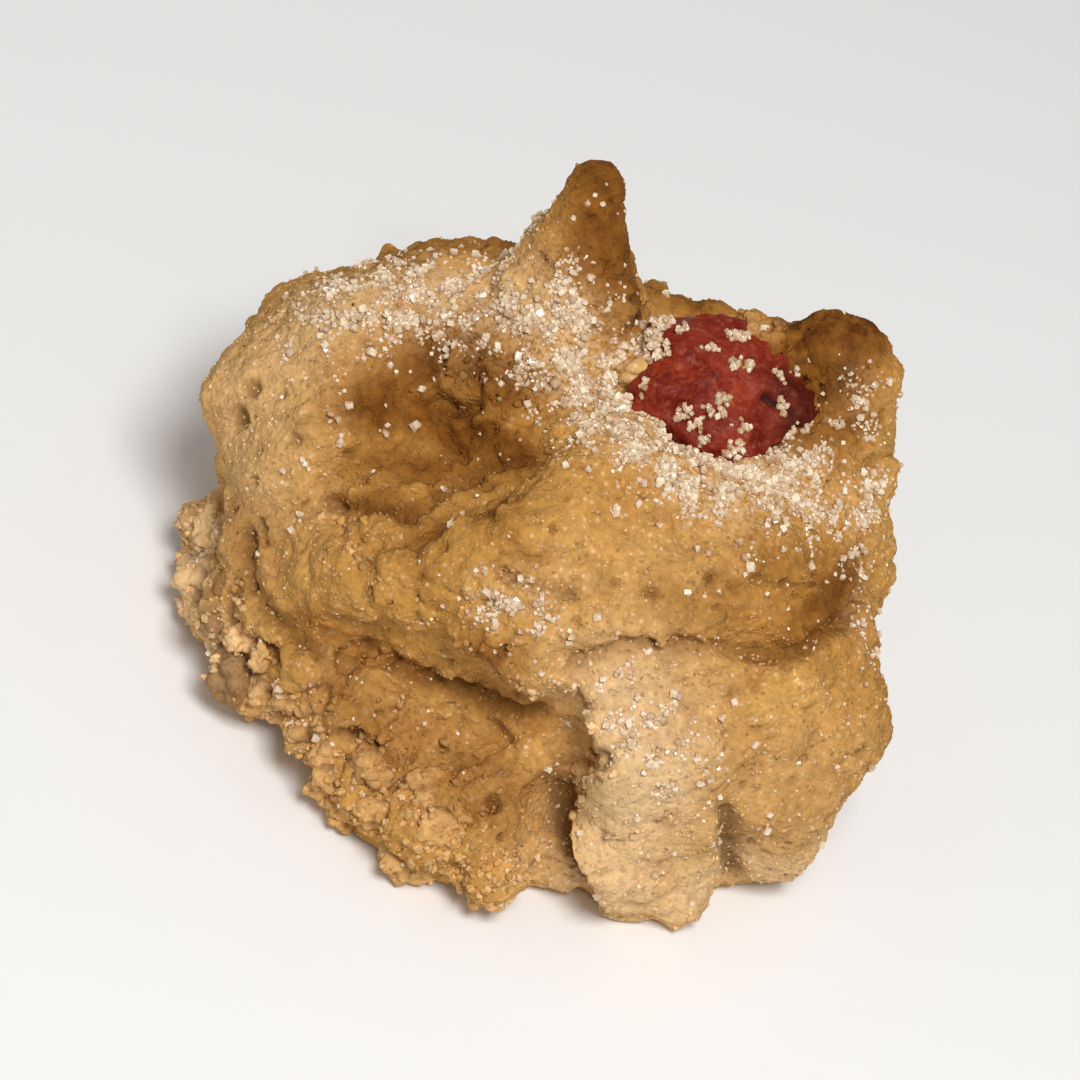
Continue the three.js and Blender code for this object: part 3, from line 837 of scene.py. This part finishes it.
def crust_material():
    """Golden dough, paler and browner by its marks, with specks and painted shade in its creases."""
    material, tree, shader = new_material("baked_dough", Roughness=0.85, Specular_IOR_Level=0.15)
    browned_and_painted_shade = marked(tree, "browned_and_painted_shade")
    whiter = marked(tree, "pale")
    mottle = cloud(tree, 2.0)
    blotches = reach_between(tree, cloud(tree, 6.0), 0.48, 0.72)
    deep = product(tree, reach_between(tree, browned_and_painted_shade, 0.5, 1.0), reach_between(tree, mottle, 0.3, 0.6))
    layers = [
        (whiter, PALE_DOUGH),
        (product(tree, blotches, reach_between(tree, whiter, 0, 1, 0.35, 0.1)), ORANGE),
        (product(tree, dots(tree, 0.6, 0.35), 0.45), LIGHT_SPECK),
        (product(tree, dots(tree, 0.55, 0.25), 0.5), DARK_SPECK),
        (reach_between(tree, browned_and_painted_shade, 0.05, 0.8), BROWN),
        (deep, DARK_BROWN),
        # painted shade in creases and hollows, in dark brown
        (product(tree, marked(tree, "painted_shade"), 0.65), DARK_BROWN),
    ]
    colour = tinted(tree, shade(GOLDEN), layers)
    for tones, low, high in ((mottle, 0.88, 1.1), (cloud(tree, 0.8, 4.0, 0.7), 0.78, 1.22)):
        colour = mix_colours(tree, 1.0, colour, reach_between(tree, tones, 0.3, 0.7, low, high), "MULTIPLY")
    tone = reach_between(tree, marked(tree, "tone"), 0, 1, 0.75, 1.25)
    colour = mix_colours(tree, 1.0, colour, tone, "MULTIPLY")
    dusting = product(tree, reach_between(tree, cloud(tree, 0.5, 1.0), 0.4, 0.56), marked(tree, "sugared"))
    colour = tinted(tree, colour, [(product(tree, dusting, 0.7), SUGAR_DUST)])
    tree.links.new(colour, shader.inputs["Base Color"])
    fine, coarse = cells(tree, 0.45)["Distance"], cells(tree, 0.9)["Distance"]
    pebbles = add_node(tree, "ShaderNodeMath", {0: fine, 1: coarse}, operation="ADD").outputs["Value"]
    bumped(tree, shader, pebbles, 0.12, invert=True)
    return material


def sugar_material():
    material, tree, shader = new_material("sugar", Roughness=0.25, Specular_IOR_Level=0.6)
    # tan to white by tone, which carries painted light on each crystal
    colour = tinted(tree, shade(SUGAR_FOOT), [(marked(tree, "tone"), SUGAR_TOP)])
    tree.links.new(colour, shader.inputs["Base Color"])
    return material


def cherry_material():
    """Blotchy red skin, sticky in places, with flesh showing and painted shade in its slit and at its right
    end.
    """
    material, tree, shader = new_material(
        "glace_cherry", Specular_IOR_Level=0.15, Coat_Weight=0.02, Coat_Roughness=0.25
    )
    blotches = reach_between(tree, cloud(tree, 3.0), 0.35, 0.65)
    dark = reach_between(tree, cloud(tree, 1.6), 0.58, 0.72)
    layers = [
        (blotches, CHERRY_BRIGHT),
        (product(tree, dark, 0.6), CHERRY_DEEP),
        (reach_between(tree, cloud(tree, 0.7, 4.0, 0.7), 0.52, 0.68, 0, 0.6), CHERRY_FLESH),
        # painted shade in the slit and at the right end
        (marked(tree, "painted_shade"), CHERRY_PAINTED_SHADE),
    ]
    colour = tinted(tree, shade(CHERRY_RED), layers)
    tree.links.new(colour, shader.inputs["Base Color"])
    dull = reach_between(tree, cloud(tree, 1.2), 0.3, 0.7, 0.4, 0.65)
    tree.links.new(dull, shader.inputs["Roughness"])
    bumped(tree, shader, cloud(tree, 0.6), 0.25)
    return material


def make_cherry():
    """The cherry's solid with a finer, torn and shrivelled skin."""
    bm = merged_copy("cherry")
    bmesh.ops.subdivide_edges(bm, edges=bm.edges, cuts=CHERRY_CUTS, use_grid_fill=True)
    smooth(bm, bm.verts, CHERRY_ROUNDS)
    tree = BVHTree.FromBMesh(bm)
    mesh = mesh_from(bm, "cherry_skin")
    places = coordinates(mesh) / MM
    wrinkles = 0.5 * ridges(places, *WRINKLES)
    wrinkles += 0.3 * swell(places, *FINE_WRINKLES) + 0.15 * swell(places, *SKIN)
    slit = stroke_weight(places, [CHERRY_SLIT], tree, 0.2 * swell(places, *SLIT_EDGES))
    dark = stroke_weight(places, [CHERRY_SHADED_END], tree, swell(places, *DARK_EDGES))
    places += normals(mesh) * (wrinkles - SLIT_DEPTH * slit)[:, None]
    move_points(mesh, places)
    # painted shade in the slit and at the right end
    mark(mesh, "painted_shade", np.maximum(slit, dark))
    mesh.shade_smooth()
    return add_object(mesh, "cherry_skin")


class Ground:
    """The triangles of a mesh that loose things are strewn on."""

    def __init__(self, mesh):
        mesh.calc_loop_triangles()
        self.triangles = triples(mesh.loop_triangles, "vertices", np.int32)
        self.corners = coordinates(mesh)[self.triangles]
        sides = self.corners[:, 1:] - self.corners[:, :1]
        across = np.cross(sides[:, 0], sides[:, 1])
        self.areas = np.linalg.norm(across, axis=1) / 2
        self.normals = across / np.maximum(2 * self.areas, 1e-12)[:, None]
        self.middles = self.corners.mean(axis=1)

    def strew(self, count, thickness, rng):
        """Places and normals drawn with a chance that goes with area and thickness."""
        chance = self.areas * thickness
        drawn = rng.choice(len(chance), count, p=chance / chance.sum())
        shares = rng.random((count, 2))
        folded = shares.sum(axis=1) > 1
        shares[folded] = 1 - shares[folded]
        sides = self.corners[drawn, 1:] - self.corners[drawn, :1]
        places = self.corners[drawn, 0] + (sides * shares[:, :, None]).sum(axis=1)
        return places, self.normals[drawn]

    def mean(self, point_values):
        """The mean over each triangle of values kept at the mesh's points."""
        return point_values[self.triangles].mean(axis=1)

    def above(self, height):
        return self.middles[:, 2] > height * MM

    def facing_up(self, lean):
        """From 1 for what faces up to nought for what leans over beyond a limit."""
        return np.clip(self.normals[:, 2] + lean, 0, 1)


def random_turns(count, rng):
    """Rotation matrices drawn evenly."""
    a = rng.normal(size=(count, 4))
    w, x, y, z = (a / np.linalg.norm(a, axis=1)[:, None]).T
    rows = [
        [1 - 2 * (y * y + z * z), 2 * (x * y - z * w), 2 * (x * z + y * w)],
        [2 * (x * y + z * w), 1 - 2 * (x * x + z * z), 2 * (y * z - x * w)],
        [2 * (x * z - y * w), 2 * (y * z + x * w), 1 - 2 * (x * x + y * y)],
    ]
    return np.moveaxis(np.array(rows), 2, 0)


def joined_copies(shape, name, places, sizes, rng, uneven=COPY_UNEVEN):
    """One mesh of many copies of a small shape, each stretched, turned, roughened and put in place."""
    points = np.array([vert.co for vert in shape.verts])
    faces = np.array([[vert.index for vert in face.verts] for face in shape.faces])
    shape.free()
    count = len(places)
    copies = points[None] * rng.uniform(*COPY_STRETCH, (count, 1, 3))
    copies = copies + rng.normal(0, uneven, copies.shape)
    turned = np.einsum("nij,nkj->nki", random_turns(count, rng), copies)
    vertices = turned * sizes[:, None, None] + places[:, None, :]
    starts = np.arange(count) * len(points)
    all_faces = starts[:, None, None] + faces[None]
    mesh = bpy.data.meshes.new(name)
    mesh.from_pydata(vertices.reshape(-1, 3).tolist(), [], all_faces.reshape(-1, faces.shape[1]).tolist())
    mesh.update()
    return mesh


def crystal_shape(chamfer):
    """A block one unit across, its edges chamfered, in triangles."""
    bm = bmesh.new()
    bmesh.ops.create_cube(bm, size=1)
    if chamfer:
        bmesh.ops.bevel(
            bm, geom=bm.edges[:], offset=chamfer, segments=1, profile=0.5, affect="EDGES", material=-1
        )
    bmesh.ops.triangulate(bm, faces=bm.faces)
    bm.verts.index_update()
    return bm


def crumb_shape(splits, lumpy):
    """A ball one unit across, more or less lumpy."""
    bm = bmesh.new()
    bmesh.ops.create_icosphere(bm, subdivisions=splits, radius=0.5)
    for vert in bm.verts:
        vert.co *= 1 + lumpy * noise.noise(vert.co * 3.1)
    bm.verts.index_update()
    return bm


def sugar_piece(name, chamfer, places, outward, sizes, tones, rng):
    """Crystals of given tones, with painted light that makes each lighter on top and tan at its foot."""
    mesh = joined_copies(crystal_shape(chamfer), name, places, sizes, rng)
    count = len(places)
    from_middle = coordinates(mesh).reshape(count, -1, 3) - places[:, None]
    height = np.einsum("nki,ni->nk", from_middle, outward) / sizes[:, None]
    # painted light: each crystal lighter towards its top
    mark(mesh, "tone", (tones[:, None] + SUGAR_PAINTED_TOP_LIGHT * height).ravel())
    return add_object(mesh, name)


def gathered(*groups):
    """The places and the normals of several groups."""
    return [np.concatenate(columns) for columns in zip(*groups)]


def in_clumps(middles, each, surfaces, rng):
    """Places and normals of crystals that lie in clumps, each on the nearest of the surfaces."""
    found = []
    for middle in np.repeat(np.array(middles), each, axis=0):
        aside = (Vector(middle + rng.normal(0, CLUMP_SCATTER, 3)) + PLACES_FROM) * MM
        nearest = min([surface.find_nearest(aside) for surface in surfaces], key=lambda hit: hit[3])
        found.append(nearest[:2])
    return list(zip(*found))


def make_coarse_sugar(crust, cherry, clods, ground, clod_ground):
    """Coarse crystals on the crust and the clods, where grains were fused, and in clumps."""
    rng = np.random.default_rng(COARSE_SEED)
    strays = COARSE_STRAYS * ground.above(COARSE_LOWEST)
    thickness = ground.mean(crust.sugared) * ground.facing_up(SUGAR_LEAN) + strays
    on_crust = ground.strew(COARSE_SUGAR, thickness, rng)
    on_clods = clod_ground.strew(CLOD_SUGAR, clod_ground.above(CLOD_SUGAR_LOWEST), rng)
    fused = zip(*[crust.surface.find_nearest(middle)[:2] for middle in crust.grain_middles])
    around_cherry = [crust.surface, surface_tree(cherry.data), surface_tree(clods.data)]
    on_cherry = in_clumps(CHERRY_CLUMPS, CHERRY_CLUMP_COUNT, around_cherry, rng)
    elsewhere = in_clumps(CRUST_CLUMPS, CRUST_CLUMP_COUNT, [crust.surface], rng)
    places, outward = gathered(on_crust, on_clods, fused, on_cherry, elsewhere)
    clumped = len(on_cherry[0]) + len(elsewhere[0])
    sizes = rng.uniform(*COARSE_SIZE, len(places)) * MM
    sizes[-clumped:] = rng.uniform(*CLUMP_SIZE, clumped) * MM
    tones = SUGAR_TONES * rng.random(len(places))
    tones[-clumped:] -= CLUMP_DARKER
    lift = rng.uniform(*COARSE_LIFT, len(places)) * sizes
    places = places + outward * lift[:, None]
    return sugar_piece("coarse_sugar", COARSE_CHAMFER, places, outward, sizes, tones, rng)


def make_fine_sugar(crust, ground):
    """Fine crystals among the coarse ones, and thinly all over."""
    rng = np.random.default_rng(FINE_SEED)
    thickness = ground.mean(crust.sugared) * ground.facing_up(SUGAR_LEAN)
    strays = FINE_STRAYS * ground.above(FINE_LOWEST) * ground.facing_up(STRAY_LEAN)
    places, outward = ground.strew(FINE_SUGAR, thickness + strays, rng)
    sizes = rng.uniform(*FINE_SIZE, len(places)) * MM
    tones = SUGAR_TONES * rng.random(len(places))
    return sugar_piece("fine_sugar", FINE_CHAMFER, places, outward, sizes, tones, rng)


def clod_places(crust, rng):
    """Places, outward directions and sizes of the clods along their rows and over the cherry's edge."""
    found = []
    for points, count, span in CLOD_ROWS:
        row = laid_points(points, STROKE_STEP, crust.tree)
        for place in row[rng.integers(0, len(row), count)]:
            aside = Vector(place + rng.normal(0, CLOD_SCATTER, 3)) * MM
            on_crust, outward = crust.surface.find_nearest(aside)[:2]
            found.append((on_crust, outward, rng.uniform(*span) * MM))
    for place in CHERRY_LAP:
        found.append(((Vector(place) + PLACES_FROM) * MM, Vector((0, 0, 1)), rng.uniform(*LAP_SIZE) * MM))
    return [np.array(column) for column in zip(*found)]


def make_clods(crust):
    """Lumpy clods, more than half sunk in the crust, with painted shade where they meet it and between their
    knobs.
    """
    rng = np.random.default_rng(CLOD_SEED)
    on_crust, outward, sizes = clod_places(crust, rng)
    middles = on_crust - CLOD_SINK * outward * sizes[:, None]
    mesh = joined_copies(crumb_shape(*CLOD_BALL), "clods", middles, sizes, rng, uneven=0.0)
    places = coordinates(mesh) / MM
    rise = 0.8 * knobs(places, *CLOD_KNOBS) + 0.5 * ridges(places, *CLOD_RIDGES)
    rise += 0.45 * knobs(places, *CLOD_GRIT)
    places += normals(mesh) * rise[:, None]
    places[:, 2] = np.maximum(places[:, 2], 0)
    move_points(mesh, places)
    each = len(places) // len(sizes)
    up = np.einsum("nki,ni->nk", places.reshape(-1, each, 3) - on_crust[:, None] / MM, outward)
    # Painted shade at each clod's foot and in the hollows between its knobs.
    painted_shade = np.clip(CLOD_FOOT_PAINTED_SHADE - CLOD_PAINTED_SHADE_FALL * up.ravel(), 0, 1) + np.clip(-rise, 0, 1)
    # clods coloured lighter, partly with painted light
    colour_crust(mesh, places, crust.tree, painted_shade, tone=CLOD_TONE_WITH_PAINTED_LIGHT, paler=CLOD_PALER_WITH_PAINTED_LIGHT)
    mesh.shade_smooth()
    return add_object(mesh, "clods")


def crumb_piece(name, shape, places, sizes, crust, rng):
    """Crumbs in the crust's own colours, each a little lighter or darker."""
    mesh = joined_copies(shape, name, places, sizes, rng, uneven=CRUMB_UNEVEN)
    mesh.shade_smooth()
    tones = rng.uniform(*CRUMB_TONES, len(places))
    paler = CRUMB_PALER * rng.random(len(places))
    each = len(mesh.vertices) // len(places)
    colour_crust(mesh, places / MM, crust.tree, tone=tones, paler=paler, each=each)
    return add_object(mesh, name)


def make_crumbs(crust, ground, clod_ground):
    """Crumbs on the crumbled parts of the crust and on the clods."""
    rng = np.random.default_rng(CRUMB_SEED)
    thickness = ground.mean(crust.crumbled) ** 2 * ground.above(CRUMB_LOWEST)
    on_crust = ground.strew(CRUMBS, thickness, rng)
    on_clods = clod_ground.strew(CLOD_CRUMBS, clod_ground.above(CLOD_CRUMB_LOWEST), rng)
    places, outward = gathered(on_crust, on_clods)
    smallest, largest = CRUMB_SIZE
    sizes = (smallest + (largest - smallest) * rng.random(len(places)) ** CRUMB_SMALLNESS) * MM
    places = places + outward * (CRUMB_LIFT * sizes)[:, None]
    return crumb_piece("crumbs", crumb_shape(*CRUMB_BALL), places, sizes, crust, rng)


def make_granules(crust, ground):
    """Granules of dough all over the crust, half sunk in it."""
    rng = np.random.default_rng(GRANULE_SEED)
    places, outward = ground.strew(GRANULES, ground.above(GRANULE_LOWEST), rng)
    sizes = rng.uniform(*GRANULE_SIZE, GRANULES) * MM
    places = places - outward * (GRANULE_SINK * sizes)[:, None]
    return crumb_piece("granules", crumb_shape(*GRANULE_BALL), places, sizes, crust, rng)


def dress(piece, material):
    piece.data.materials.clear()
    piece.data.materials.append(material)
    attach(piece, BODY)


def make_camera():
    data = bpy.data.cameras.new("camera")
    data.sensor_width = SENSOR_WIDTH
    data.lens = data.sensor_width / 2 * VIEW_DISTANCE / VIEW_HALF_WIDTH
    data.clip_start = NEAREST_SEEN
    camera = add_object(data, "camera")
    tilt = Matrix.Rotation(math.pi / 2 - VIEW_ELEVATION, 4, "X")
    roll = Matrix.Rotation(VIEW_ROLL, 4, "Z")
    back = Matrix.Translation((0, 0, VIEW_DISTANCE))
    camera.matrix_world = Matrix.Translation(VIEW_TARGET) @ tilt @ roll @ back
    bpy.context.scene.camera = camera


def make_light():
    data = bpy.data.lights.new("key", "AREA")
    data.size = LIGHT_SIDE
    data.energy = LIGHT_POWER
    light = add_object(data, "key")
    direction = Vector(LIGHT_TOWARDS).normalized()
    light.location = VIEW_TARGET + direction * LIGHT_DISTANCE
    light.rotation_euler = direction.to_track_quat("Z", "Y").to_euler()


def make_studio():
    bm = bmesh.new()
    bmesh.ops.create_grid(bm, x_segments=1, y_segments=1, size=FLOOR_REACH)
    floor = add_object(mesh_from(bm, "floor"), "floor")
    material, _, shader = new_material("pale_floor", Roughness=0.9)
    shader.inputs["Base Color"].default_value = FLOOR_COLOUR
    floor.data.materials.append(material)
    world = bpy.data.worlds.new("studio")
    world.use_nodes = True
    sky = world.node_tree.nodes["Background"]
    sky.inputs["Color"].default_value = SKY_COLOUR
    sky.inputs["Strength"].default_value = SKY_STRENGTH
    bpy.context.scene.world = world
    make_light()
    bpy.context.scene.view_settings.view_transform = "Standard"


crust = Crust()
cherry = make_cherry()
ground = Ground(crust.mesh)
clods = make_clods(crust)
clod_ground = Ground(clods.data)
crumbs = make_crumbs(crust, ground, clod_ground)
granules = make_granules(crust, ground)
coarse_sugar = make_coarse_sugar(crust, cherry, clods, ground, clod_ground)
fine_sugar = make_fine_sugar(crust, ground)

baked_dough = crust_material()
sugar = sugar_material()
for piece in (crust.piece, clods, crumbs, granules):
    dress(piece, baked_dough)
for piece in (coarse_sugar, fine_sugar):
    dress(piece, sugar)
dress(cherry, cherry_material())
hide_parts("dough")
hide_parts("cherry")
make_camera()
make_studio()
